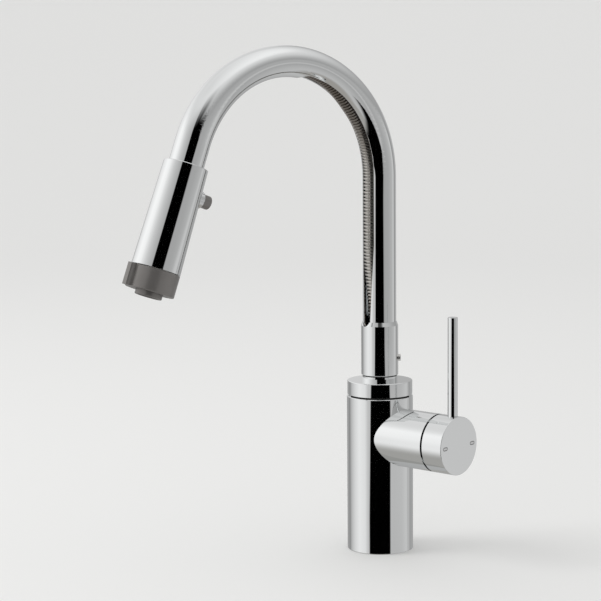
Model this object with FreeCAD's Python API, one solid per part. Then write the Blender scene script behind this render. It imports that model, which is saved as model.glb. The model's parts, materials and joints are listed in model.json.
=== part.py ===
import FreeCAD, Part
import math
import os

# A single-lever kitchen faucet with a slotted gooseneck spout and a pull-down spray head.
# Millimetres. The origin is the centre of the body's foot on the deck, +Z is up and the spout points to -Y.

# Common clearances and edges
slip = 0.05          # radial room of a piece that slides or turns in its seat
seat_gap = 0.02      # radial room of a piece that is fixed in its seat
face_gap = 0.1       # axial room between faces that turn on each other
overrun = 1.0        # how far a cutter stands past the face that it cuts
rim = 0.6            # rounding of turned rims
fine_rim = 0.35      # rounding of small turned rims

# Body
body_radius = 25.0
body_height = 118.0
body_wall = 3.0
body_bore = body_radius - body_wall

# Side valve housing
valve_turn = 12.9    # degrees from +X towards +Y
valve_drop = 30.1    # of the valve's axis below the body's top
valve_height = body_height - valve_drop
valve_radius = 21.67
valve_wall = 3.05
valve_bore = valve_radius - valve_wall
housing_end = 56.2
hub_gap = 1.7
hub_start = housing_end + hub_gap
hub_end = 75.56

# Base insert and its sockets
insert_height = 14.0
seal_height = 2.4
seal_width = 1.0
inlet_radius = 3.5
inlet_depth = 8.0
pipe_radius = 3.0
pipe_wall = 0.8
pipe_reach = 14.2
pipe_spacing = 8.0
stud_hole_radius = 3.4
stud_inset = 6.5
stud_offset = body_bore - stud_inset

# Ribbed hose
hose_radius = 6.75
hose_root = 6.1
hose_bore = 4.2
hose_start = 3.0
rib_count = 200
rib_crest_share = 0.5
hose_room = 0.75

# Swivel cap and collar ring
swivel_gap = 1.3
cap_inset = 0.4      # of the cap's side from the body's side
cap_radius = body_radius - cap_inset
cap_height = 10.5
cap_low = body_height + swivel_gap
cap_top = cap_low + cap_height
cap_plate = 3.0
cap_skirt = 2.4
cap_hub_width = 3.1
collar_radius = 13.4
collar_height = 3.3
collar_gap = 0.9
swivel_seal_room = 0.4
swivel_seal_width = 1.8
swivel_seal_rise = 0.9
swivel_seal_radius = cap_radius - cap_skirt - swivel_seal_room
sleeve_seal_width = 0.6

# Spout tube and sleeve
tube_radius = 12.6
tube_wall = 1.2
tube_bore = tube_radius - tube_wall
arc_radius = 83.75
arc_height = 284.0
bend_flat = 1.3      # by which half the tube's depth is flattened in the middle of the bend
bend_steps = 16
head_lean = 19.8     # degrees between the head's axis and the vertical
sleeve_radius = 14.02
sleeve_spigot = 12.1
sleeve_length = 37.5
sleeve_shoulder = 3.0
sleeve_lip = 0.3
tube_seat = 14.0     # of the tube's end above the sleeve's foot
sleeve_foot = cap_top + collar_height + collar_gap
sleeve_shoulder_low = sleeve_foot + sleeve_length
sleeve_top = sleeve_shoulder_low + sleeve_shoulder
tube_start = sleeve_foot + tube_seat
slot_width = 13.3
slot_foot_width = 7.0
slot_taper = 58.0    # length over which the slot narrows to its foot
slot_bite = 3.3      # how far the slot cuts into the sleeve
slot_low = sleeve_top - slot_bite
slot_end_angle = 82.0
slot_floor = 5.0
slot_round = 0.55

# Swivel post and its bearings
post_bore = hose_radius + hose_room
post_radius = 9.0
post_sink = 0.6      # of the flange below the body's top
post_flange = 6.4
post_flange_top = body_height - post_sink
post_flange_low = post_flange_top - post_flange
washer_height = 1.8
washer_radius = swivel_seal_radius - swivel_seal_width
bush_wall = 1.9
lower_bush_height = 11.5
upper_bush_height = 11.0
clip_rise = 12.45    # above the sleeve's foot
clip_low = sleeve_foot + clip_rise
clip_height = 0.9
clip_depth = 0.6
clip_width = 2.0
post_lip = 1.65
post_top = clip_low + clip_height + post_lip

# Way of the hose: out to the slot above the post, then back to the axis in the closed part of the arc
hose_lean = 6.6      # off the spout's axis where it lies in the slot
hose_tuck = 2.8      # off the axis past the slot
lean_room = 3.0
lean_rise = 84.0
tuck_angles = (40.0, 75.0)
return_angles = (110.0, 156.0)
route_step = 0.01

# Set screw of the sleeve
screw_turn = 48.0    # degrees from +X towards +Y
screw_rise = 12.8
screw_height = sleeve_foot + screw_rise
screw_radius = 2.5
screw_proud = 1.7
screw_socket = 1.25
screw_socket_depth = 1.6

# Spray head, in distances along its axis from the end of the arc
head_start = 16.3
head_length = 76.0
head_chrome_end = head_start + head_length
head_top_radius = 16.03
head_low_radius = 17.58
head_bore = 14.3
dock_depth = 9.1
dock_room = 0.44
dock_end = head_start + dock_depth
dock_overlap = 5.6
tube_end = head_start + dock_overlap
bush_start = 6.0
bush_flange = 1.5
bush_room = 0.25
bush_bore = hose_radius + bush_room

# Hose nipple
nipple_room = 0.5
nipple_start = tube_end + bush_flange + nipple_room
nipple_bore = 3.0
ferrule_radius = 6.9
ferrule_length = 8.0
nut_radius = 8.6
nut_length = 3.0
nipple_radius = 5.0
nipple_length = 10.0
nipple_seal_rise = 4.0
nipple_seal_height = 2.0
nipple_seal_width = 0.85

nut_start = nipple_start + ferrule_length
nut_end = nut_start + nut_length
nipple_end = nut_end + nipple_length
nipple_seal_start = nut_end + nipple_seal_rise

# Spray ring and its tab
ring_gap = 0.6
ring_start = head_chrome_end + ring_gap
ring_height = 15.7
ring_end = ring_start + ring_height
ring_plate = 2.5
ring_room = 0.4
tab_reach = 21.8
tab_width = 5.0
tab_flare = 2.2
nozzle_radius = 0.6
nozzle_circle = 12.9
nozzle_count = 24

# Head core and what it holds
core_room = 0.5
core_start = dock_end + core_room
core_end = ring_end - ring_plate - ring_room
core_socket = 9.0
core_throat = 5.95
screen_height = 1.5
check_room = 0.6
throat_end = nipple_end + face_gap + screen_height
check_start = throat_end + check_room
check_length = 14.0
check_radius = 5.0
check_bore = 3.2
core_waterway = 6.0

# Outlet
outlet_proud = 3.5
outlet_end = ring_end + outlet_proud
outlet_radius = 9.7
outlet_wall = 2.0
outlet_thread_radius = 9.2
outlet_thread_length = 9.8
core_step = core_end - outlet_thread_length
outlet_depth = 10.2
outlet_mouth = outlet_end - outlet_depth
mesh_inset = 4.2
mesh_start = outlet_end - mesh_inset
mesh_height = 1.2
mesh_hole = 0.7
mesh_pitch = 2.1

# Button at the back of the head
button_drop = 19.8   # below the head's top edge
button_place = head_start + button_drop
button_radius = 4.9
button_proud = 25.9
button_travel = 2.5
button_foot = 12.0
button_pin = 2.0
boss_radius = 6.2
boss_proud = 19.2
button_sink = 0.6
button_step = boss_proud - button_sink
button_seal_height = 0.8
button_floor = button_step - button_seal_height - button_travel - face_gap

# Cartridge, in distances along the valve's axis from the body's axis
seat_start = 18.0
seat_end = 24.0
block_start = 11.0
block_half_width = 11.2
block_drop = 16.0
block_rise = 4.0
pipe_socket_depth = 8.0
port_radius = 2.2
mixed_port_drop = 6.2
cartridge_radius = 17.2
cartridge_end = 44.0
cartridge_floor = 2.0
cartridge_roof = 2.0
cartridge_window = 9.0
cavity_radius = 12.1
disc_height = 2.3
moving_disc_height = 2.5
moving_disc_radius = 8.0
disc_pocket_floor = 0.8
cartridge_seal_width = 0.9
carrier_start = 31.0
clamp_end = 48.0
clamp_window = 11.0

# Stem and handle
gap_sphere = 30.0    # radius of the hub's hollow back about the pivot
dome_room = 0.8
bonnet_wall = 2.5
bonnet_skirt = 2.2
bonnet_window = 11.8
bonnet_window_drop = 4.0
pivot = hub_start - math.sqrt(gap_sphere ** 2 - valve_radius ** 2)
stem_radius = 3.5
stem_end = 72.0
stem_tip = 5.2
stem_tip_radius = 1.9
stem_neck_radius = 1.5
tip_room = 0.4
pin_radius = 1.5
pin_half_length = 9.0
carrier_slot = 6.2
lever_place = 69.69
lever_radius = 3.66
lever_foot = 12.0
lever_top = 94.8
grub_radius = 1.6
grub_foot = 3.6
grub_length = 9.0
mark_place = 16.0
mark_length = 5.4
mark_width = 2.8
mark_depth = 0.4

X = FreeCAD.Vector(1, 0, 0)
Y = FreeCAD.Vector(0, 1, 0)
Z = FreeCAD.Vector(0, 0, 1)
origin = FreeCAD.Vector(0, 0, 0)


def vec(x, y, z):
    return FreeCAD.Vector(x, y, z)


def rod(radius, low, high, x=0, y=0):
    return Part.makeCylinder(radius, high - low, vec(x, y, low), Z)


def ring(outer, inner, low, high, x=0, y=0):
    return rod(outer, low, high, x, y).cut(rod(inner, low - overrun, high + overrun, x, y))


def turned(*points):
    corners = [vec(r, 0, z) for r, z in points]
    face = Part.Face(Part.makePolygon(corners + corners[:1]))
    return face.revolve(origin, Z, 360)


def block(x_low, x_high, y_low, y_high, z_low, z_high):
    return Part.makeBox(x_high - x_low, y_high - y_low, z_high - z_low, vec(x_low, y_low, z_low))


def softened(shape, radius, *rims):
    """Round the circular edges that have one of the given radii and heights."""
    picked = []
    for edge in shape.Edges:
        curve = edge.Curve
        if not isinstance(curve, Part.Circle):
            continue
        for r, z in rims:
            if abs(curve.Radius - r) < seat_gap and abs(curve.Center.z - z) < seat_gap:
                picked.append(edge)
    return shape.makeFillet(radius, picked)


def on_valve(shape):
    """Lay a shape that stands on +Z along the valve's axis; its -X side comes up."""
    placed = shape.copy()
    placed.rotate(origin, Y, 90)
    placed.rotate(origin, Z, valve_turn)
    placed.translate(vec(0, 0, valve_height))
    return placed


def on_deck(shape):
    """Turn an upright shape to the valve's side of the body."""
    placed = shape.copy()
    placed.rotate(origin, Z, valve_turn)
    return placed


arc_sweep = 180 - head_lean
arc_end = vec(
    0,
    -arc_radius * (1 + math.cos(math.radians(head_lean))),
    arc_height + arc_radius * math.sin(math.radians(head_lean)),
)
arc_centre = vec(0, -arc_radius, arc_height)


def on_head(shape):
    """Lay a shape that stands on +Z along the head's axis; its +Y side faces the front."""
    placed = shape.copy()
    placed.rotate(origin, X, arc_sweep)
    placed.translate(arc_end)
    return placed


def flattening(angle):
    """How far the tube's half depth falls short of its radius at an angle of the arc."""
    share = min(angle / arc_sweep, 1)
    return bend_flat * math.sin(math.pi * share) ** 2


def bend_section(radius, angle):
    """The tube's outline at an angle of the arc; its outer side keeps to one circle."""
    flat = flattening(angle)
    out = vec(0, math.cos(math.radians(angle)), math.sin(math.radians(angle)))
    centre = arc_centre + out * (arc_radius + flat)
    oval = Part.Ellipse(centre + X * radius, centre + out * (radius - flat), centre)
    return Part.Wire(oval.toShape())


def gooseneck(radius, start, end):
    """A bent rod: up the riser, round the arc and along the head's axis."""
    riser = rod(radius, start, arc_height)
    angles = [arc_sweep * step / bend_steps for step in range(bend_steps + 1)]
    bend = Part.makeLoft([bend_section(radius, angle) for angle in angles], True)
    return riser.fuse([bend, on_head(rod(radius, 0, end))]).removeSplitter()


def on_tube(point):
    """Whether a point of the riser or of the arc lies on the tube's outer side."""
    if point.z <= arc_height:
        return abs(math.hypot(point.x, point.y) - tube_radius) < seat_gap
    angle = math.degrees(math.atan2(point.z - arc_height, point.y - arc_centre.y))
    flat = flattening(angle)
    reach = math.hypot(point.y - arc_centre.y, point.z - arc_height) - arc_radius - flat
    return abs(math.hypot(point.x / tube_radius, reach / (tube_radius - flat)) - 1) * tube_radius < seat_gap


def slot_cutter():
    """The long slot on the inner side of the riser and of the arc, narrower at its foot, with round ends."""
    half = slot_width / 2
    foot_half = slot_foot_width / 2
    outer = sleeve_radius + overrun
    low = slot_low + foot_half
    sides = [(foot_half, low), (half, low + slot_taper), (half, arc_height)]
    sides = sides + [(-x, z) for x, z in reversed(sides)]
    corners = [vec(x, -outer, z) for x, z in sides]
    riser = Part.Face(Part.makePolygon(corners + corners[:1])).extrude(Y * (outer - slot_floor))
    foot = Part.makeCylinder(foot_half, outer - slot_floor, vec(0, -outer, low), Y)
    middle = (outer + slot_floor) / 2
    end_angle = slot_end_angle - math.degrees(half / (arc_radius - middle))
    corners = [vec(x, -d, arc_height) for x, d in
               ((-half, slot_floor), (half, slot_floor), (half, outer), (-half, outer))]
    bend = Part.Face(Part.makePolygon(corners + corners[:1])).revolve(arc_centre, X, end_angle)
    tip = Part.makeCylinder(half, outer - slot_floor, vec(0, -outer, arc_height), Y)
    tip.rotate(arc_centre, X, end_angle)
    return riser.fuse([foot, bend, tip])


def side_point(angle, distance):
    turn = math.radians(angle)
    return vec(distance * math.cos(turn), distance * math.sin(turn), screw_height)


def side_rod(radius, angle, start, end):
    """A rod that points out of the sleeve's side at the set screw's height."""
    foot = side_point(angle, start)
    return Part.makeCylinder(radius, end - start, foot, side_point(angle, end) - foot)


pipe_places = [-pipe_spacing, 0, pipe_spacing]
port_drops = [0, mixed_port_drop, 0]


def body_shell():
    barrel = softened(rod(body_radius, 0, body_height), rim, (body_radius, 0), (body_radius, body_height))
    barrel = barrel.cut(rod(body_bore, -overrun, body_height + overrun))
    return barrel.cut(on_valve(rod(valve_radius + seat_gap, 0, housing_end)))


def valve_housing():
    tube = on_valve(ring(valve_radius, valve_bore, 0, housing_end))
    return tube.cut(rod(body_bore, -overrun, body_height + overrun))


def base_insert():
    plug = rod(body_bore - seat_gap, 0, insert_height)
    plug = plug.cut(ring(body_radius, body_bore - seal_width - seat_gap, -overrun, seal_height + seat_gap))
    plug = plug.cut(rod(post_bore, -overrun, insert_height + overrun))
    for y in pipe_places:
        plug = plug.cut(rod(inlet_radius, -overrun, inlet_depth, pipe_reach, y))
        plug = plug.cut(rod(pipe_radius + seat_gap, 0, insert_height + overrun, pipe_reach, y))
    plug = on_deck(plug)
    for y in (-stud_offset, stud_offset):
        plug = plug.cut(rod(stud_hole_radius, -overrun, insert_height + overrun, 0, y))
    return plug


def base_seal():
    return ring(body_bore - seat_gap, body_bore - seal_width, 0, seal_height)


pipe_top = valve_height - block_drop + pipe_socket_depth


def supply_pipe(y):
    return on_deck(ring(pipe_radius, pipe_radius - pipe_wall, inlet_depth, pipe_top, pipe_reach, y))


def valve_seat():
    seat = rod(valve_bore - seat_gap, seat_start, seat_end)
    half = block_half_width
    seat = seat.fuse(block(-block_rise, block_drop, -half, half, block_start, seat_start))
    for y, drop in zip(pipe_places, port_drops):
        seat = seat.cut(rod(port_radius, pipe_reach, seat_end + overrun, drop, y))
        socket = Part.makeCylinder(pipe_radius + seat_gap, pipe_socket_depth + overrun,
                                   vec(block_drop + overrun, y, pipe_reach), -X)
        bore = Part.makeCylinder(port_radius, block_drop - drop, vec(block_drop, y, pipe_reach), -X)
        seat = seat.cut(socket.fuse(bore))
    return on_valve(seat)


def ports(radius, low, high):
    """Rods through the three water ways of the cartridge."""
    rods = [rod(radius, low, high, drop, y) for y, drop in zip(pipe_places, port_drops)]
    return rods[0].fuse(rods[1:])


case_floor = seat_end + cartridge_floor
case_roof = cartridge_end - cartridge_roof
disc_top = case_floor + disc_height


def cartridge_case():
    case = rod(cartridge_radius, seat_end, cartridge_end)
    case = case.cut(rod(cavity_radius, case_floor, case_roof))
    case = case.cut(rod(cartridge_window, case_roof - overrun, cartridge_end + overrun))
    pockets = ports(port_radius + cartridge_seal_width, seat_end - overrun, case_floor + overrun)
    return on_valve(case.cut(pockets))


def cartridge_seals():
    outer = ports(port_radius + cartridge_seal_width - seat_gap, seat_end, case_floor)
    return on_valve(outer.cut(ports(port_radius, seat_end - overrun, case_floor + overrun)))


def fixed_disc():
    disc = rod(cavity_radius - seat_gap, case_floor, disc_top)
    return on_valve(disc.cut(ports(port_radius, case_floor - overrun, disc_top + overrun)))


def moving_disc():
    disc = rod(moving_disc_radius, disc_top + seat_gap, disc_top + moving_disc_height)
    pocket = rod(stem_tip_radius + tip_room, disc_top + disc_pocket_floor, carrier_start)
    return on_valve(disc.cut(pocket))


def cartridge_carrier():
    drum = rod(cavity_radius - slip, carrier_start, case_roof - face_gap)
    half = stem_radius + tip_room
    drum = drum.cut(block(-carrier_slot, carrier_slot, -half, half, carrier_start - overrun, cartridge_end))
    hole = Part.makeCylinder(pin_radius + seat_gap, 2 * cavity_radius, vec(0, -cavity_radius, pivot), Y)
    return on_valve(drum.cut(hole))


def stem_pin():
    return on_valve(Part.makeCylinder(pin_radius, 2 * pin_half_length, vec(0, -pin_half_length, pivot), Y))


def stem():
    tip = Part.makeSphere(stem_tip_radius, vec(0, 0, pivot - stem_tip))
    neck = rod(stem_neck_radius, pivot - stem_tip, pivot)
    shaft = rod(stem_radius, pivot - stem_radius, stem_end)
    bar = shaft.fuse([neck, tip])
    hole = Part.makeCylinder(pin_radius + slip, 2 * cavity_radius, vec(0, -cavity_radius, pivot), Y)
    return on_valve(bar.cut(hole))


def cartridge_nut():
    return on_valve(ring(valve_bore - seat_gap, clamp_window, cartridge_end, clamp_end))


def bonnet():
    """A domed cover whose ball face is centred on the stem's pivot."""
    outer = gap_sphere - dome_room
    centre = vec(0, 0, pivot)
    ball = Part.makeSphere(outer, centre).cut(Part.makeSphere(outer - bonnet_wall, centre))
    dome = ball.common(rod(valve_bore - seat_gap, clamp_end + face_gap, hub_end))
    edge = pivot + math.sqrt(outer ** 2 - valve_bore ** 2)
    skirt = ring(valve_bore - seat_gap, valve_bore - bonnet_skirt, clamp_end, edge)
    window = rod(bonnet_window, clamp_end, hub_end, bonnet_window_drop)
    return on_valve(dome.fuse(skirt).cut(window).removeSplitter())


def handle_hub():
    hub = softened(rod(valve_radius, hub_start - overrun, hub_end), fine_rim, (valve_radius, hub_end))
    hub = hub.cut(Part.makeSphere(gap_sphere, vec(0, 0, pivot)))
    hub = hub.cut(rod(stem_radius + seat_gap, hub_start, stem_end))
    lever_seat = vec(-lever_foot, 0, lever_place)
    grub_seat = vec(grub_foot - seat_gap, 0, lever_place)
    hub = hub.cut(Part.makeCylinder(lever_radius + seat_gap, valve_radius, lever_seat, -X))
    hub = hub.cut(Part.makeCylinder(grub_radius + seat_gap, valve_radius, grub_seat, X))
    for y in (-mark_place, mark_place):
        hub = hub.cut(mark_pad(y, seat_gap))
    return on_valve(hub)


def mark_pad(y, room=0):
    """An oval inlay in the hub's end face."""
    half = (mark_length - mark_width) / 2
    radius = mark_width / 2 + room
    pad = block(-radius, radius, y - half, y + half, hub_end - mark_depth - room, hub_end)
    ends = [rod(radius, hub_end - mark_depth - room, hub_end, 0, y + side) for side in (-half, half)]
    return pad.fuse(ends).removeSplitter()


def lever_rod():
    bar = softened(rod(lever_radius, lever_foot, lever_top), fine_rim, (lever_radius, lever_top))
    bar.rotate(origin, Y, -90)
    bar.translate(vec(0, 0, lever_place))
    return on_valve(bar)


def hub_screw():
    screw = Part.makeCylinder(grub_radius, grub_length, vec(grub_foot, 0, lever_place), X)
    return on_valve(screw)


def swivel_post():
    flange = rod(body_bore - seat_gap, post_flange_low, post_flange_top)
    post = rod(post_radius, post_flange_low, post_top).fuse(flange)
    groove_top = clip_low + clip_height + seat_gap
    post = post.cut(ring(post_radius + overrun, post_radius - clip_depth, clip_low - seat_gap, groove_top))
    return post.cut(rod(post_bore, post_flange_low - overrun, post_top + overrun)).removeSplitter()


def thrust_washer():
    return ring(washer_radius, post_radius + slip, post_flange_top, post_flange_top + washer_height)


spout_foot = post_flange_top + washer_height + face_gap


def swivel_seal():
    return ring(swivel_seal_radius, washer_radius + seat_gap, post_flange_top, cap_low + swivel_seal_rise)


def swivel_cap():
    bore = sleeve_spigot + seat_gap
    cap = turned(
        (bore, spout_foot), (bore + cap_hub_width, spout_foot), (bore + cap_hub_width, cap_top - cap_plate),
        (cap_radius - cap_skirt, cap_top - cap_plate), (cap_radius - cap_skirt, cap_low),
        (cap_radius, cap_low), (cap_radius, cap_top), (bore, cap_top),
    )
    return softened(cap, rim, (cap_radius, cap_top))


def collar_ring():
    return ring(collar_radius, sleeve_spigot + seat_gap, cap_top, cap_top + collar_height)


def sleeve_seal():
    inner = sleeve_spigot + seat_gap
    return ring(inner + sleeve_seal_width, inner, cap_top + collar_height, sleeve_foot)


def spout_sleeve():
    bore = post_radius + slip + bush_wall
    socket = tube_radius + seat_gap
    sleeve = turned(
        (bore, spout_foot), (sleeve_spigot, spout_foot), (sleeve_spigot, sleeve_foot),
        (sleeve_radius, sleeve_foot), (sleeve_radius, sleeve_shoulder_low), (socket + sleeve_lip, sleeve_top),
        (socket, sleeve_top), (socket, tube_start), (bore, tube_start),
    )
    sleeve = softened(sleeve, fine_rim, (sleeve_radius, sleeve_foot))
    sleeve = sleeve.cut(side_rod(screw_radius + seat_gap, screw_turn, tube_radius, sleeve_radius + overrun))
    return sleeve.cut(slot_cutter())


def set_screw():
    tip = sleeve_radius + screw_proud
    screw = side_rod(screw_radius, screw_turn, tube_radius + face_gap, tip)
    return screw.cut(side_rod(screw_socket, screw_turn, tip - screw_socket_depth, tip + overrun))


def swivel_bushes():
    inner = post_radius + slip
    outer = inner + bush_wall - seat_gap
    upper_low = clip_low - face_gap - upper_bush_height
    lower = ring(outer, inner, spout_foot, spout_foot + lower_bush_height)
    return Part.makeCompound([lower, ring(outer, inner, upper_low, upper_low + upper_bush_height)])


def retaining_ring():
    inner = post_radius - clip_depth + seat_gap
    return ring(inner + clip_width, inner, clip_low, clip_low + clip_height)


def spout_tube():
    slot = slot_cutter()
    tube = gooseneck(tube_radius, tube_start, tube_end)
    tube = tube.cut(gooseneck(tube_bore, tube_start - overrun, tube_end + overrun)).cut(slot)
    rims = []
    for edge in tube.Edges:
        middle = edge.valueAt((edge.FirstParameter + edge.LastParameter) / 2)
        if slot.isInside(middle, seat_gap, True) and on_tube(middle):
            rims.append(edge)
    return tube.makeFillet(slot_round, rims)


def dock_bush():
    flange_end = tube_end + bush_flange
    bush = rod(tube_bore - seat_gap, bush_start, tube_end).fuse(rod(tube_radius, tube_end, flange_end))
    return on_head(bush.cut(rod(bush_bore, bush_start - overrun, flange_end + overrun)).removeSplitter())


def eased(value, low, high):
    """A share that climbs smoothly from none to all between two places."""
    share = min(max((value - low) / (high - low), 0), 1)
    return share * share * (3 - 2 * share)


def hose_place(distance):
    """Point of the hose's centre line: up the riser, round the arc, then along the head's axis."""
    riser = arc_height - hose_start
    bend = math.radians(arc_sweep) * arc_radius
    turn = max(distance - riser, 0) / arc_radius
    angle = math.degrees(turn)
    lean_low = post_top + lean_room
    lean = hose_lean * eased(hose_start + distance, lean_low, lean_low + lean_rise)
    lean -= (hose_lean - hose_tuck) * eased(angle, *tuck_angles)
    lean -= hose_tuck * eased(angle, *return_angles)
    if distance <= riser:
        return vec(0, -lean, hose_start + distance)
    if distance <= riser + bend:
        return arc_centre + vec(0, math.cos(turn), math.sin(turn)) * (arc_radius + flattening(angle) - lean)
    along = vec(0, -math.sin(math.radians(head_lean)), -math.cos(math.radians(head_lean)))
    return arc_end + along * (distance - riser - bend)


def hose_circle(distance, radius):
    along = hose_place(distance + route_step) - hose_place(distance - route_step)
    circle = Part.Circle(hose_place(distance), along, radius)
    circle.XAxis = X
    return Part.Wire(circle.toShape())


def ribbed_hose():
    length = arc_height - hose_start + math.radians(arc_sweep) * arc_radius + tube_end
    plain = 2 * hose_radius
    pitch = (length - 2 * plain) / rib_count
    crest = pitch * rib_crest_share
    flank = (pitch - crest) / 4
    circles = [hose_circle(0, hose_root)]
    bores = [hose_circle(-overrun, hose_bore)]
    for index in range(rib_count):
        start = plain + index * pitch
        circles.append(hose_circle(start + flank, hose_root))
        circles.append(hose_circle(start + 2 * flank, hose_radius))
        circles.append(hose_circle(start + 2 * flank + crest, hose_radius))
        circles.append(hose_circle(start + 3 * flank + crest, hose_root))
        bores.append(hose_circle(start, hose_bore))
    circles.append(hose_circle(length, hose_root))
    bores.append(hose_circle(length + overrun, hose_bore))
    print("hose length", round(length, 1), "rib pitch", round(pitch, 3))
    return Part.makeLoft(circles, True, True).cut(Part.makeLoft(bores, True, True))


def hose_nipple():
    neck = nipple_radius - nipple_seal_width / 2
    seal_end = nipple_seal_start + nipple_seal_height
    return on_head(turned(
        (nipple_bore, nipple_start), (ferrule_radius, nipple_start), (ferrule_radius, nut_start),
        (nut_radius, nut_start), (nut_radius, nut_end), (nipple_radius, nut_end),
        (nipple_radius, nipple_seal_start), (neck, nipple_seal_start), (neck, seal_end),
        (nipple_radius, seal_end), (nipple_radius, nipple_end), (nipple_bore, nipple_end),
    ))


def nipple_seal():
    inner = nipple_radius - nipple_seal_width / 2 + seat_gap
    return on_head(ring(core_throat - slip, inner, nipple_seal_start + seat_gap,
                        nipple_seal_start + nipple_seal_height - seat_gap))


def screen_washer():
    low = nipple_end + face_gap
    return on_head(ring(core_throat - seat_gap, nipple_bore, low, low + screen_height))


def check_valve():
    return on_head(ring(check_radius, check_bore, check_start, check_start + check_length))


def head_core():
    socket_end = nut_end + face_gap
    check = check_radius + seat_gap
    check_end = check_start + check_length
    thread = outlet_thread_radius + seat_gap
    core = turned(
        (core_socket, core_start), (head_bore - seat_gap, core_start), (head_bore - seat_gap, core_end),
        (thread, core_end), (thread, core_step), (core_waterway, core_step),
        (core_waterway, check_end + overrun), (check_bore, check_end + overrun), (check_bore, check_end),
        (check, check_end), (check, throat_end),
        (core_throat, throat_end), (core_throat, socket_end), (core_socket, socket_end),
    )
    return on_head(core.cut(back_rod(button_pin + slip + seat_gap, 0, head_bore + overrun)))


def back_rod(radius, start, end):
    """A rod that points out of the head's back at the button's place."""
    return Part.makeCylinder(radius, end - start, vec(0, -start, button_place), -Y)


def head_shell():
    dock = tube_radius + dock_room
    shell = turned(
        (dock, head_start), (head_top_radius, head_start), (head_low_radius, head_chrome_end),
        (head_bore, head_chrome_end), (head_bore, dock_end), (dock, dock_end),
    )
    shell = softened(shell, rim, (head_top_radius, head_start))
    return on_head(shell.cut(back_rod(boss_radius + seat_gap, 0, 2 * head_low_radius)))


def button_boss():
    boss = back_rod(boss_radius, head_bore + face_gap, boss_proud)
    rims = [edge for edge in boss.Edges if abs(edge.CenterOfMass.y + boss_proud) < seat_gap]
    boss = boss.makeFillet(rim, rims)
    boss = boss.cut(back_rod(button_pin + slip + seat_gap, 0, boss_proud))
    return on_head(boss.cut(back_rod(button_radius + slip, button_floor, boss_proud + overrun)))


def button():
    tip = back_rod(button_radius, button_step, button_proud)
    rims = [edge for edge in tip.Edges if abs(edge.CenterOfMass.y + button_proud) < seat_gap]
    tip = tip.makeFillet(rim, rims)
    return on_head(tip.fuse(back_rod(button_pin, button_foot, button_step)).removeSplitter())


def button_seal():
    low = button_step - button_seal_height
    seal = back_rod(button_radius, low, button_step - seat_gap)
    return on_head(seal.cut(back_rod(button_pin + seat_gap, 0, button_proud)))


def spray_ring():
    inner = head_bore + ring_room
    mouth = outlet_radius + ring_room
    plate = ring_end - ring_plate
    shell = turned(
        (inner, ring_start), (head_low_radius, ring_start), (head_low_radius, ring_end), (mouth, ring_end),
        (mouth, plate), (inner, plate),
    )
    shell = softened(shell, rim, (head_low_radius, ring_end))
    shell = shell.fuse(tab())
    for index in range(nozzle_count):
        turn = 2 * math.pi * index / nozzle_count
        x, y = nozzle_circle * math.cos(turn), nozzle_circle * math.sin(turn)
        shell = shell.cut(rod(nozzle_radius, plate - overrun, ring_end + overrun, x, y))
    return on_head(shell)


def tab():
    """The front tab of the spray ring, with hollow sides that flare into the ring."""
    half = tab_width / 2
    root = half + tab_flare
    inner = head_low_radius - tab_flare
    waist = (inner + tab_reach) / 2
    tip = tab_reach - rim
    roots = [vec(side * root, inner, ring_start) for side in (1, -1)]
    waists = [vec(side * half, waist, ring_start) for side in (1, -1)]
    tips = [vec(side * half, tip, ring_start) for side in (1, -1)]
    right = Part.Arc(roots[0], waists[0], tips[0])
    left = Part.Arc(tips[1], waists[1], roots[1])
    crown = Part.Arc(tips[0], vec(0, tab_reach, ring_start), tips[1])
    foot = Part.LineSegment(roots[1], roots[0])
    outline = Part.Wire([right.toShape(), crown.toShape(), left.toShape(), foot.toShape()])
    return Part.Face(outline).extrude(vec(0, 0, ring_end - ring_start))


def outlet():
    low = core_end + face_gap
    cup = rod(outlet_thread_radius, core_step, low).fuse(rod(outlet_radius, low, outlet_end)).removeSplitter()
    cup = softened(cup, rim, (outlet_radius, outlet_end))
    cup = cup.cut(rod(outlet_radius - outlet_wall, outlet_mouth, outlet_end + overrun))
    return on_head(cup.cut(rod(core_waterway, core_step - overrun, outlet_end)))


def outlet_screen():
    radius = outlet_radius - outlet_wall
    screen = rod(radius - seat_gap, mesh_start, mesh_start + mesh_height)
    holes = []
    steps = int(radius / mesh_pitch)
    for column in range(-steps, steps + 1):
        for row in range(-steps, steps + 1):
            x, y = column * mesh_pitch, row * mesh_pitch
            if math.hypot(x, y) < radius - 2 * mesh_hole:
                holes.append(rod(mesh_hole, mesh_start - overrun, mesh_start + mesh_height + overrun, x, y))
    return on_head(screen.cut(holes[0].fuse(holes[1:])))


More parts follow.
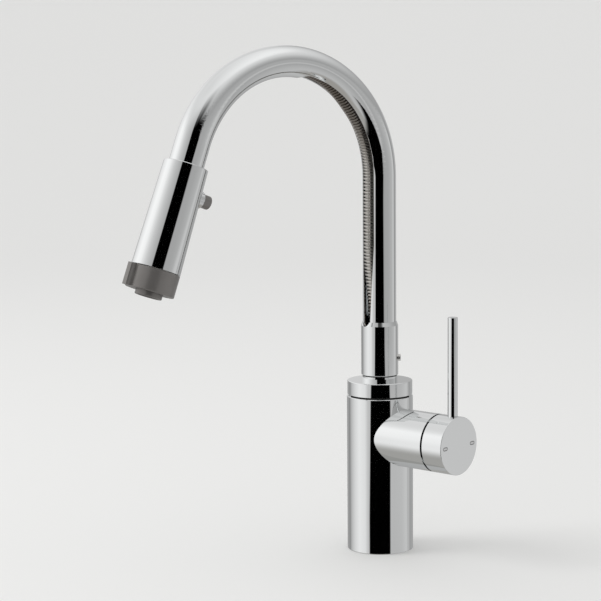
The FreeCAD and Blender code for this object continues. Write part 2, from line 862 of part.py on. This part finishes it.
pieces = {
    "body_shell": body_shell(),
    "valve_housing": valve_housing(),
    "base_insert": base_insert(),
    "base_seal": base_seal(),
    "hot_pipe": supply_pipe(pipe_places[0]),
    "mixed_pipe": supply_pipe(pipe_places[1]),
    "cold_pipe": supply_pipe(pipe_places[2]),
    "valve_seat": valve_seat(),
    "cartridge_case": cartridge_case(),
    "cartridge_seals": cartridge_seals(),
    "fixed_disc": fixed_disc(),
    "moving_disc": moving_disc(),
    "cartridge_carrier": cartridge_carrier(),
    "stem_pin": stem_pin(),
    "stem": stem(),
    "cartridge_nut": cartridge_nut(),
    "bonnet": bonnet(),
    "handle_hub": handle_hub(),
    "lever_rod": lever_rod(),
    "hub_screw": hub_screw(),
    "hot_mark": on_valve(mark_pad(-mark_place)),
    "cold_mark": on_valve(mark_pad(mark_place)),
    "swivel_post": swivel_post(),
    "thrust_washer": thrust_washer(),
    "retaining_ring": retaining_ring(),
    "swivel_bushes": swivel_bushes(),
    "swivel_seal": swivel_seal(),
    "swivel_cap": swivel_cap(),
    "collar_ring": collar_ring(),
    "sleeve_seal": sleeve_seal(),
    "spout_sleeve": spout_sleeve(),
    "set_screw": set_screw(),
    "spout_tube": spout_tube(),
    "dock_bush": dock_bush(),
    "ribbed_hose": ribbed_hose(),
    "hose_nipple": hose_nipple(),
    "nipple_seal": nipple_seal(),
    "screen_washer": screen_washer(),
    "check_valve": check_valve(),
    "head_core": head_core(),
    "head_shell": head_shell(),
    "button_boss": button_boss(),
    "button": button(),
    "button_seal": button_seal(),
    "spray_ring": spray_ring(),
    "outlet": outlet(),
    "outlet_screen": outlet_screen(),
}

os.makedirs("parts", exist_ok=True)
for name, shape in pieces.items():
    shape.exportStep("parts/" + name + ".step")
    print(name, len(shape.Solids), round(shape.Volume, 1), shape.isValid())
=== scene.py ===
import json
import math

import bmesh
import bpy
from mathutils import Matrix, Vector


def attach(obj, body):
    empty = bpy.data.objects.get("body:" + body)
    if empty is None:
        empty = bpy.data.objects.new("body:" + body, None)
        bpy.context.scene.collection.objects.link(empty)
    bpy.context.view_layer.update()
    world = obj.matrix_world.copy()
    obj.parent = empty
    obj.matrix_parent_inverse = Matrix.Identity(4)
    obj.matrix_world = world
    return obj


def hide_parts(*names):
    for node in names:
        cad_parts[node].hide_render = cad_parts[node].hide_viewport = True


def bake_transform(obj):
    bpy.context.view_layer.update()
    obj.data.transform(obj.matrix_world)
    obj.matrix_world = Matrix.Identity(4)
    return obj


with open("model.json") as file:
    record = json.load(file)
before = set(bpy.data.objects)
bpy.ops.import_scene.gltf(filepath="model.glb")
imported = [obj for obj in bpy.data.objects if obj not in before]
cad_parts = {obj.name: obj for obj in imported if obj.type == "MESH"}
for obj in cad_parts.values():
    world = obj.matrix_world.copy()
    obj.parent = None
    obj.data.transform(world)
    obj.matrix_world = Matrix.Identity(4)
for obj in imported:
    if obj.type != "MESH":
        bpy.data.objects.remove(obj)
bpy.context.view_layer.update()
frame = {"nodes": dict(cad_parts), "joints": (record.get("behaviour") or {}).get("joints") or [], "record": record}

# A chrome kitchen faucet: slotted gooseneck spout, ribbed hose, pull-down head and side lever. Metres.
joints = {joint["name"]: joint for joint in frame["joints"]}

# Camera, fitted to the photograph
camera_azimuth = math.radians(53.02)
camera_distance = 1.36843
camera_height = 0.34677
camera_pitch = math.radians(6.52)
camera_yaw = math.radians(-2.5)
camera_roll = math.radians(-0.47)
focal_pixels = 1822.57
image_pixels = 601
sensor_width = 36.0
# Level directions towards the camera and to the right in its picture
camera_way = Vector((math.sin(camera_azimuth), -math.cos(camera_azimuth), 0))
camera_right = Vector((math.cos(camera_azimuth), math.sin(camera_azimuth), 0))

# Lines that the round pieces are turned about
tube_radius = 0.0126
arc_radius = 0.08375
arc_height = 0.284
arc_centre = Vector((0, -arc_radius, arc_height))
bend_flat = 0.0013
arc_sweep = math.radians(180 - 19.8)
arc_end = Vector(joints["head_turn"]["pos_m"])
head_axis = Vector(joints["head_pull"]["axis"])
valve_start = Vector(joints["handle_turn"]["pos_m"])
valve_axis = Vector(joints["handle_turn"]["axis"])
tilt_axis = Vector(joints["handle_lift"]["axis"])
button_axis = Vector(joints["button_press"]["axis"])
button_place = 0.0361
lever_place = 0.06969

# Marks on the hub: distance from its middle, half of the oval's straight part, where the outline sets in
mark_place = 0.016
mark_straight = 0.0013
mark_outline = (0.0005, 0.0009)

# Joined faces and true normals
merge_distance = 2e-6
crease_angle = math.radians(32)
flat_share = 0.9999
round_share = math.cos(math.radians(20))

# Hose and its way: up the riser, out to the slot, round the arc, then along the head's axis
hose_start = 0.003
hose_crest = 0.00675
hose_root = 0.0051
hose_bore = 0.0042
rib_pitch = 0.00255
hose_lean = 0.0066
hose_tuck = 0.0028
lean_heights = (0.152, 0.236)
tuck_turns = (math.radians(40), math.radians(75))
return_turns = (math.radians(110), math.radians(156))
head_travel = joints["head_pull"]["range_m"][1]
nipple_start = 0.0239
hose_sides = 28
hose_weld = 1e-7
halvings = 48
# Shares of a rib's length and of its rise
rib_profile = (
    (0.0, 0.0), (0.17, 0.0), (0.23, 0.8), (0.29, 1.0), (0.32, 1.0),
    (0.68, 1.0), (0.71, 1.0), (0.77, 0.8), (0.83, 0.0),
)
# The bore has a ring at every second rib
bore_steps = 2 * len(rib_profile)
# Painted light on the hose: heights at the slot's foot, where a warm reflection and shade are painted, and under
# the arc, where shade is painted, and how far out the slot reaches
foot_heights = (0.205, 0.172)
arc_shade_heights = (0.285, 0.345)
slotted_reach = (-0.14, -0.11)

# Stage
backdrop_radius = 4.0
backdrop_bend = 1.6
backdrop_height = 5.0
backdrop_sides = 96
backdrop_steps = 12
backdrop_weld = 1e-6
backdrop_white = (0.83, 0.83, 0.82, 1)
backdrop_roughness = 0.9
key_place = Vector((-0.9, -1.6, 1.9))
key_aim = Vector((0, -0.08, 0.2))
key_size = 1.2
key_power = 14.0

# The studio that mirrors see. Bearing from the camera in degrees, to the right, and brightness there:
# low down and higher up
bearings = (-180, 180)
lower_walls = [
    (-180, 0.34), (-145, 0.38), (-134, 0.27), (-118, 0.56), (-98, 0.78), (-78, 0.93), (-54, 0.85),
    (-42, 0.60), (-36, 0.60), (36, 0.56), (50, 0.55), (82, 0.57), (100, 0.63), (108, 0.62),
    (115, 0.46), (119, 0.56), (128, 0.38), (150, 0.40), (172, 0.36),
]
upper_walls = [
    (-180, 0.72), (-155, 0.80), (-129, 0.93), (-103, 1.10), (-82, 1.04), (-63, 0.82), (-47, 0.66),
    (-29, 0.54), (-14, 0.46), (22, 0.36), (46, 0.42), (64, 0.43), (80, 0.47), (97, 0.52),
    (107, 0.62), (114, 0.68), (121, 0.36), (126, 0.28), (136, 0.44), (160, 0.50),
]
# Height of a mirrored ray and brightness there, above and below the walls
heights = (-1, 1)
wall_heights = [
    (-1.0, 0.37), (-0.8, 0.55), (-0.5, 0.47), (-0.3, 0.42), (-0.1, 0.40), (0.1, 0.38), (0.25, 0.39),
    (0.35, 0.43), (0.45, 0.50), (0.55, 0.585), (0.65, 0.69), (0.75, 0.77), (0.85, 0.87), (0.95, 0.90),
]
# Height of a mirrored ray and bearing there of the dark wall's ends
dark_heights = (-0.3, 0.5)
dark_left_ends = [(-0.3, -38), (-0.23, -38), (-0.16, -32), (-0.14, -30), (0.0, -24), (0.41, -11)]
dark_right_ends = [
    (-0.3, 36), (-0.23, 36), (-0.17, 37), (-0.14, 31), (-0.06, 28), (0.05, 37),
    (0.14, 41), (0.26, 38), (0.35, 33), (0.42, 26), (0.48, 18),
]
dark_reach = 60
dark_edge = 2
dark_blur = 8
# Heights of a mirrored ray between which a part of the studio sets in
left_upper = (-0.1, 0.2)
left_ceiling = (0.45, 0.8)
left_floor = (-0.22, -0.65)
band_top = (-0.12, -0.19)
band_foot = (-0.34, -0.22)
right_ceiling = (0.08, 0.25)
right_floor = (-0.25, -0.33)
ceiling_slope = (0.75, 0.95)
whole_floor = (-0.8, -0.95)
dark_top = (0.86, 0.46)
dark_foot = (-0.72, -0.57)
dark_blurred = (0.15, 0.45)
# How far a mirrored ray points to the right where the left side sets in
left_side = (0.05, -0.05)
ceiling_tilt = 0.3
left_floor_tone = (0.40, 0.395, 0.38, 1)
floor_tone = (0.37, 0.355, 0.335, 1)
dark_tone = (0, 0, 0, 1)
light_tone = (0.86, 0.86, 0.86, 1)


class Field:
    """A number that varies over a surface: a node's socket with arithmetic."""

    def __init__(self, finish, socket):
        self.finish = finish
        self.socket = socket

    def maths(self, operation, other=0.0):
        return self.finish.node("ShaderNodeMath", {"operation": operation}, {0: self, 1: other})

    def __add__(self, other):
        return self.maths("ADD", other)

    __radd__ = __add__

    def __mul__(self, other):
        return self.maths("MULTIPLY", other)

    def __sub__(self, other):
        return self.maths("SUBTRACT", other)

    def __rsub__(self, other):
        return self.finish.node("ShaderNodeMath", {"operation": "SUBTRACT"}, {0: other, 1: self})

    def __truediv__(self, other):
        return self.maths("DIVIDE", other)

    def size(self):
        return self.maths("ABSOLUTE")

    def clamp(self):
        return self.finish.node("ShaderNodeClamp", {}, {0: self})


class Finish:
    """A node tree that is written as expressions."""

    def __init__(self, tree):
        self.tree = tree

    def node(self, kind, settings=None, inputs=None, output=0):
        node = self.tree.nodes.new(kind)
        for key, value in (settings or {}).items():
            setattr(node, key, value)
        for key, value in (inputs or {}).items():
            if isinstance(value, Field):
                self.tree.links.new(value.socket, node.inputs[key])
            else:
                node.inputs[key].default_value = value
        return Field(self, node.outputs[output])

    def component(self, vector, axis):
        return self.node("ShaderNodeSeparateXYZ", {}, {0: vector}, axis)

    def dot(self, first, second):
        return self.node("ShaderNodeVectorMath", {"operation": "DOT_PRODUCT"}, {0: first, 1: second}, "Value")

    def smooth(self, value, low, high):
        """From 0 at low to 1 at high, eased at both ends."""
        settings = {"interpolation_type": "SMOOTHSTEP"}
        return self.node("ShaderNodeMapRange", settings, {0: value, 1: low, 2: high})

    def mix(self, factor, first, second):
        return self.node("ShaderNodeMix", {"data_type": "RGBA"}, {0: factor, 6: first, 7: second}, 2)

    def ramp(self, value, low, high, stops):
        """The level at a value between low and high, by stops (value, level)."""
        level = self.node("ShaderNodeValToRGB", {}, {0: (value - low) / (high - low)})
        elements = level.socket.node.color_ramp.elements
        while len(elements) < len(stops):
            elements.new(1.0)
        for element, (place, shade) in zip(elements, stops):
            element.position = (place - low) / (high - low)
            element.color = (shade, shade, shade, 1)
        return level


class Surface(Finish):
    """A material with one Principled shader."""

    def __init__(self, name, **fixed):
        self.material = bpy.data.materials.new(name)
        self.material.use_nodes = True
        super().__init__(self.material.node_tree)
        self.shader = self.tree.nodes["Principled BSDF"]
        for socket, value in fixed.items():
            self.shader.inputs[socket.replace("_", " ")].default_value = value
        self.place = self.node("ShaderNodeTexCoord", output="Object")

    def noise(self, scale, detail):
        inputs = {"Vector": self.place, "Scale": scale, "Detail": detail}
        return self.node("ShaderNodeTexNoise", {}, inputs)

    def feed(self, socket, field):
        self.tree.links.new(field.socket, self.shader.inputs[socket])

    def bump(self, height, strength, distance):
        inputs = {"Height": height, "Strength": strength, "Distance": distance}
        self.feed("Normal", self.node("ShaderNodeBump", {}, inputs))


def chrome_plate():
    """Polished plate: a clear mirror with faint wiping haze."""
    polish, haze_depth, streak_depth = 0.012, 0.022, 0.008
    plate = Surface("chrome_plate", Metallic=1.0, Base_Color=(0.83, 0.84, 0.84, 1))
    haze = plate.noise(scale=55.0, detail=4.0)
    streaks = plate.noise(scale=420.0, detail=2.0)
    plate.feed("Roughness", polish + haze * haze_depth + streaks * streak_depth)
    return plate.material


def satin_steel():
    """Plain stainless steel with a fine grain."""
    polish, grain_depth = 0.22, 0.2
    steel = Surface("satin_steel", Metallic=1.0, Base_Color=(0.62, 0.61, 0.59, 1))
    grain = steel.noise(scale=900.0, detail=3.0)
    steel.feed("Roughness", polish + grain * grain_depth)
    return steel.material


def hose_steel():
    """Wound steel strip, with a painted warm reflection and shade at the slot's foot and painted shade under the
    arc.
    """
    bright_shades = (0.47, 0.45, 0.42, 1), (0.57, 0.55, 0.52, 1)
    # Painted shade for the hose under the arc, where the slot's edges shade it
    painted_arc_shade, painted_arc_shade_share = (0.20, 0.175, 0.155, 1), 0.9
    # Painted warm reflection and shade for the hose at the slot's foot
    painted_foot_reflection, painted_reflection_least, painted_reflection_spread = (0.36, 0.26, 0.18, 1), 0.55, 0.5
    polish, stain_depth, brown_depth = 0.08, 0.1, 0.12
    steel = Surface("hose_steel", Metallic=1.0)
    stain = steel.noise(scale=70.0, detail=4.0)
    bright = steel.mix(stain.clamp(), *bright_shades)
    height = steel.component(steel.place, "Z")
    slotted = steel.smooth(steel.component(steel.place, "Y"), *slotted_reach)
    foot = slotted * steel.smooth(height, *foot_heights)
    # Where the painted shade under the arc sets in
    arc_shade_mask = slotted * steel.smooth(height, *arc_shade_heights)
    arc_shaded_tone = steel.mix(arc_shade_mask * painted_arc_shade_share, bright, painted_arc_shade)
    # Share of the painted warm reflection and shade at the slot's foot, varied by the stain cloud
    painted_reflection_mask = foot * (painted_reflection_least + stain * painted_reflection_spread)
    steel.feed("Base Color", steel.mix(painted_reflection_mask, arc_shaded_tone, painted_foot_reflection))
    steel.feed("Roughness", polish + stain * stain_depth + foot * brown_depth)
    return steel.material


def grey_plastic():
    """Warm grey plated plastic with a fine satin skin."""
    shades = (0.20, 0.19, 0.182, 1), (0.24, 0.228, 0.218, 1)
    polish, skin_depth = 0.26, 0.12
    plastic = Surface("grey_plastic", Metallic=0.6)
    cloud = plastic.noise(scale=120.0, detail=3.0)
    skin = plastic.noise(scale=2600.0, detail=2.0)
    plastic.feed("Base Color", plastic.mix(cloud.clamp(), *shades))
    plastic.feed("Roughness", polish + skin * skin_depth)
    plastic.bump(skin, strength=0.08, distance=0.0002)
    return plastic.material


def dark_inlay():
    """The marks on the hub: each a pale oval with a dark outline."""
    pale_shades = (0.50, 0.50, 0.50, 1), (0.58, 0.58, 0.58, 1)
    outline_shade = (0.18, 0.18, 0.18, 1)
    polish, cloud_depth = 0.4, 0.15
    inlay = Surface("dark_inlay")
    cloud = inlay.noise(scale=900.0, detail=3.0)
    across = inlay.dot(inlay.place, tilt_axis)
    rise = inlay.component(inlay.place, "Z") - valve_start.z
    stretch = ((across.size() - mark_place).size() - mark_straight).maths("MAXIMUM", 0.0)
    spread = (rise * rise + stretch * stretch).maths("SQRT")
    pale = inlay.mix(cloud.clamp(), *pale_shades)
    inlay.feed("Base Color", inlay.mix(inlay.smooth(spread, *mark_outline), pale, outline_shade))
    inlay.feed("Roughness", polish + cloud * cloud_depth)
    return inlay.material


def clouded(name, scale, detail, shades, polish, cloud_depth, **fixed):
    """A plain finish whose shade and roughness drift a little over the surface."""
    surface = Surface(name, **fixed)
    cloud = surface.noise(scale, detail)
    surface.feed("Base Color", surface.mix(cloud.clamp(), *shades))
    surface.feed("Roughness", polish + cloud * cloud_depth)
    return surface.material


finishes = {
    "chrome": chrome_plate(),
    "brass": clouded(
        "turned_brass", scale=160.0, detail=4.0, polish=0.22, cloud_depth=0.2, Metallic=1.0,
        shades=((0.55, 0.39, 0.17, 1), (0.70, 0.52, 0.25, 1)),
    ),
    "steel": satin_steel(),
    "hose_steel": hose_steel(),
    "grey_plastic": grey_plastic(),
    "inner_plastic": clouded(
        "white_plastic", scale=140.0, detail=3.0, polish=0.38, cloud_depth=0.16,
        shades=((0.66, 0.65, 0.61, 1), (0.76, 0.75, 0.71, 1)),
    ),
    "rubber": clouded(
        "black_rubber", scale=500.0, detail=4.0, polish=0.55, cloud_depth=0.25,
        shades=((0.016, 0.016, 0.017, 1), (0.035, 0.034, 0.033, 1)),
    ),
    "ceramic": clouded(
        "lapped_ceramic", scale=220.0, detail=3.0, polish=0.12, cloud_depth=0.08,
        shades=((0.78, 0.76, 0.71, 1), (0.86, 0.85, 0.81, 1)),
    ),
    "mark": dark_inlay(),
}
node_slots = {part["node"]: part["material_slot"] for part in frame["record"]["subparts"]}
node_bodies = {node: body for body, nodes in frame["record"]["behaviour"]["bodies"].items() for node in nodes}


def dress(piece, slot):
    piece.data.materials.clear()
    piece.data.materials.append(finishes[slot])


def link(name, content):
    piece = bpy.data.objects.new(name, content)
    bpy.context.scene.collection.objects.link(piece)
    return piece


def mesh_from(name, form):
    mesh = bpy.data.meshes.new(name)
    form.to_mesh(mesh)
    form.free()
    return mesh


def spun(outline, closed, sides, weld):
    """A surface turned about the Z axis from points (radius, height)."""
    form = bmesh.new()
    verts = [form.verts.new((radius, 0, height)) for radius, height in outline]
    ends = verts[1:] + verts[:1] if closed else verts[1:]
    edges = [form.edges.new(pair) for pair in zip(verts, ends)]
    bmesh.ops.spin(form, geom=verts + edges, cent=(0, 0, 0), axis=(0, 0, 1), angle=2 * math.pi,
                   steps=sides, use_merge=True)
    bmesh.ops.remove_doubles(form, verts=form.verts, dist=weld)
    bmesh.ops.recalc_face_normals(form, faces=form.faces)
    return form


def straight(start, axis):
    """A straight line: for a point, the nearest place on it and its direction there."""
    return lambda point: (start + axis * (point - start).dot(axis), axis)


def flattening(turn):
    """How far the tube's half depth falls short of its radius at a turn of the arc."""
    return bend_flat * math.sin(math.pi * min(turn / arc_sweep, 1)) ** 2


def spout_line(point):
    """The spout's centre line; in the flattened bend, what the surface's normal points away from."""
    if (point - arc_end).dot(head_axis) > 0 and point.y < -arc_radius:
        return head_line(point)
    if point.z < arc_height:
        return upright_line(point)
    turn = math.atan2(point.z - arc_height, point.y + arc_radius)
    out = Vector((0, math.cos(turn), math.sin(turn)))
    flat = flattening(turn)
    depth = (point - arc_centre).dot(out) - arc_radius - flat
    reach = arc_radius + flat + depth * (1 - (tube_radius / (tube_radius - flat)) ** 2)
    return arc_centre + out * reach, Vector((0, -out.z, out.y))


upright_line = straight(Vector((0, 0, 0)), Vector((0, 0, 1)))
head_line = straight(arc_end, head_axis)
valve_line = straight(valve_start, valve_axis)
lever_line = straight(valve_start + valve_axis * lever_place, Vector((0, 0, 1)))
button_line = straight(arc_end + head_axis * button_place, button_axis)


def turned_normals(mesh, face, line):
    """A face's corner normals if it is turned about the line or lies square to it, else None."""
    along = face.normal.dot(line(face.center)[1])
    if abs(along) > flat_share:
        return [face.normal.copy() for _ in face.vertices]
    normals = []
    for index in face.vertices:
        point = mesh.vertices[index].co
        centre, axis = line(point)
        out = (point - centre).normalized()
        if out.dot(face.normal) < 0:
            out = -out
        normal = out * math.sqrt(1 - along * along) + axis * along
        if normal.dot(face.normal) < round_share:
            return None
        normals.append(normal)
    return normals


def lay_normals(mesh, lines):
    """Give turned and flat faces their true directions, so that a mirror finish shows no facets."""
    normals = [corner.vector.copy() for corner in mesh.corner_normals]
    for face in mesh.polygons:
        for line in lines:
            found = turned_normals(mesh, face, line)
            if found:
                normals[face.loop_start:face.loop_start + face.loop_total] = found
                break
    mesh.normals_split_custom_set(normals)


def smooth_copy(node, lines):
    """A node's own shape with joined faces and true normals."""
    form = bmesh.new()
    form.from_mesh(frame["nodes"][node].data)
    bmesh.ops.remove_doubles(form, verts=form.verts, dist=merge_distance)
    mesh = mesh_from(node + "_skin", form)
    mesh.shade_smooth()
    mesh.set_sharp_from_angle(angle=crease_angle)
    lay_normals(mesh, lines)
    piece = link(node + "_skin", mesh)
    dress(piece, node_slots[node])
    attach(piece, node_bodies[node])
    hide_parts(node)


skins = {
    "body_shell": [upright_line, valve_line],
    "valve_housing": [valve_line, upright_line],
    "bonnet": [valve_line],
    "handle_hub": [valve_line, lever_line],
    "lever_rod": [lever_line],
    "swivel_cap": [upright_line],
    "collar_ring": [upright_line],
    "spout_sleeve": [upright_line],
    "spout_tube": [spout_line],
    "set_screw": [],
    "head_shell": [head_line, button_line],
    "button_boss": [button_line],
    "button": [button_line],
    "spray_ring": [head_line],
    "outlet": [head_line],
    "dock_bush": [head_line],
    "hose_nipple": [head_line],
}
for node, lines in skins.items():
    smooth_copy(node, lines)
# The dark seal rings in the swivel gap and under the sleeve are dressed here too: they are seals, and their
# darkness in these gaps is also painted shade
for node, piece in frame["nodes"].items():
    dress(piece, node_slots[node])


def rib_outline(length):
    """Points (radius, distance) of flat-topped ribs that fill a length."""
    count = round(length / rib_pitch)
    places = [length * index / count for index in range(count + 1)]
    rise = hose_crest - hose_root
    points = []
    for low, high in zip(places, places[1:]):
        for share, swell in rib_profile:
            points.append((hose_root + rise * swell, low + (high - low) * share))
    points.append((hose_root, places[-1]))
    return points


def ribbed_tube(outline):
    """A straight hollow hose on the Z axis."""
    bore = [(hose_bore, place) for _, place in reversed(outline[::bore_steps])]
    return spun(outline + bore, closed=True, sides=hose_sides, weld=hose_weld)


def eased(value, low, high):
    share = min(max((value - low) / (high - low), 0), 1)
    return share * share * (3 - 2 * share)


def hose_place(distance):
    """Point of the hose's centre line, which lies towards the slot where the spout is slotted."""
    height = hose_start + distance
    turn = max(height - arc_height, 0) / arc_radius
    lean = hose_lean * eased(height, *lean_heights)
    lean -= (hose_lean - hose_tuck) * eased(turn, *tuck_turns) + hose_tuck * eased(turn, *return_turns)
    if height < arc_height:
        return Vector((0, -lean, height))
    reach = arc_radius + flattening(turn) - lean
    return arc_centre + Vector((0, math.cos(turn), math.sin(turn))) * reach


def along_spout(point):
    """Carry a point of the straight hose to its place in the spout."""
    step = rib_pitch / 2
    ahead = (hose_place(point.z + step) - hose_place(point.z - step)).normalized()
    side = Vector((1, 0, 0))
    return hose_place(point.z) + side * point.x + ahead.cross(side) * point.y


def finish_hose(name, form):
    mesh = mesh_from(name, form)
    mesh.shade_smooth()
    piece = link(name, mesh)
    piece.data.materials.append(finishes["hose_steel"])
    return piece


def hose_in_spout():
    form = ribbed_tube(rib_outline(arc_height - hose_start + arc_sweep * arc_radius))
    for vert in form.verts:
        vert.co = along_spout(vert.co)
    piece = finish_hose("hose_in_spout", form)
    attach(piece, "spout")
    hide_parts("ribbed_hose")


def gathered_place(target):
    """Where a point lies at rest so that the hose is even when the head is pulled right out."""
    low, high = 0.0, nipple_start
    for _ in range(halvings):
        middle = (low + high) / 2
        if middle + head_travel * eased(middle, 0, nipple_start) < target:
            low = middle
        else:
            high = middle
    return (low + high) / 2


def hose_to_head():
    """The length that comes out with the head, gathered in the spout's end at rest."""
    even = rib_outline(nipple_start + head_travel)
    form = ribbed_tube([(radius, gathered_place(place)) for radius, place in even])
    turn = Vector((0, 0, 1)).rotation_difference(head_axis).to_matrix().to_4x4()
    bmesh.ops.transform(form, matrix=Matrix.Translation(arc_end) @ turn, verts=form.verts)
    piece = finish_hose("hose_to_head", form)
    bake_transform(piece)


hose_in_spout()
hose_to_head()


def backdrop():
    """A pale floor that bends up into a wall all round."""
    flat = backdrop_radius - backdrop_bend
    turns = [math.pi / 2 * step / backdrop_steps for step in range(backdrop_steps + 1)]
    bend = [(flat + backdrop_bend * math.sin(turn), backdrop_bend * (1 - math.cos(turn))) for turn in turns]
    outline = [(0.0, 0.0)] + bend + [(backdrop_radius, backdrop_height)]
    form = spun(outline, closed=False, sides=backdrop_sides, weld=backdrop_weld)
    bmesh.ops.reverse_faces(form, faces=form.faces)
    mesh = mesh_from("backdrop", form)
    mesh.shade_smooth()
    stage = link("backdrop", mesh)
    paper = Surface("backdrop_paper", Base_Color=backdrop_white, Roughness=backdrop_roughness)
    stage.data.materials.append(paper.material)
    stage.visible_glossy = False
    stage.visible_diffuse = False
    stage.visible_shadow = False


def studio_walls(room, bearing, height, aside):
    """Tone of the walls, the ceiling and the floor in a mirrored direction."""
    smooth = room.smooth
    leftward = smooth(aside, *left_side)
    rightward = 1 - leftward
    low = room.ramp(bearing, *bearings, lower_walls)
    high = room.ramp(bearing, *bearings, upper_walls)
    band = smooth(height, *band_top) * smooth(height, *band_foot)
    walls = room.mix(leftward * smooth(height, *left_upper) + rightward * (1 - band), low, high)
    over = room.ramp(height, *heights, wall_heights) + aside * ceiling_tilt * smooth(height, *ceiling_slope)
    beyond = smooth(height, *right_ceiling) + smooth(height, *right_floor)
    walls = room.mix(leftward * smooth(height, *left_ceiling) + rightward * beyond, walls, over)
    walls = room.mix(leftward * smooth(height, *left_floor), walls, left_floor_tone)
    return room.mix(smooth(height, *whole_floor), walls, floor_tone)


def dark_wall(room, bearing, height):
    """Share of the dark wall by the camera in a mirrored direction."""
    smooth = room.smooth
    left_stops = [(place, end / dark_reach + 1) for place, end in dark_left_ends]
    right_stops = [(place, end / dark_reach) for place, end in dark_right_ends]
    left = room.ramp(height, *dark_heights, left_stops) * dark_reach - dark_reach
    right = room.ramp(height, *dark_heights, right_stops) * dark_reach
    soft = smooth(height, *dark_blurred) * dark_blur + dark_edge
    dark = smooth(bearing, left - dark_edge, left + dark_edge) * smooth(bearing, right + soft, right - soft)
    return dark * smooth(height, *dark_top) * smooth(height, *dark_foot)


def studio_light():
    """Soft light all round; mirrors see a white wall on the left, a dark one by the camera, a grey one right."""
    world = bpy.data.worlds.new("studio")
    bpy.context.scene.world = world
    world.use_nodes = True
    room = Finish(world.node_tree)
    way = room.node("ShaderNodeTexCoord", output="Generated")
    aside = room.dot(way, camera_right)
    height = room.component(way, "Z")
    bearing = aside.maths("ARCTAN2", room.dot(way, camera_way)) * math.degrees(1)
    walls = studio_walls(room, bearing, height, aside)
    mirrored = room.mix(dark_wall(room, bearing, height), walls, dark_tone)
    glossy = room.node("ShaderNodeLightPath", output="Is Glossy Ray")
    shown = room.mix(glossy, light_tone, mirrored)
    room.tree.links.new(shown.socket, room.tree.nodes["Background"].inputs["Color"])


def key_lamp():
    """A large soft lamp from the front left."""
    light = bpy.data.lights.new("key", "AREA")
    light.shape = "DISK"
    light.size = key_size
    light.energy = key_power
    lamp = link("key", light)
    lamp.location = key_place
    lamp.rotation_euler = (key_aim - key_place).to_track_quat("-Z", "Y").to_euler()
    lamp.visible_glossy = False


def swung(first, second, angle):
    """Two directions that are square to each other, after a turn from the first towards the second."""
    return (first * math.cos(angle) + second * math.sin(angle),
            second * math.cos(angle) - first * math.sin(angle))


def photograph_camera():
    place = camera_way * camera_distance + Vector((0, 0, camera_height))
    ahead, right = swung(-camera_way, camera_right, camera_yaw)
    ahead, up = swung(ahead, Vector((0, 0, 1)), -camera_pitch)
    right, up = swung(right, up, camera_roll)
    lens = bpy.data.cameras.new("photograph")
    lens.sensor_width = sensor_width
    lens.lens = sensor_width * focal_pixels / image_pixels
    camera = link("photograph", lens)
    camera.matrix_world = Matrix.Translation(place) @ Matrix((right, up, -ahead)).transposed().to_4x4()
    bpy.context.scene.camera = camera


backdrop()
studio_light()
key_lamp()
photograph_camera()
bpy.context.scene.view_settings.view_transform = "Standard"
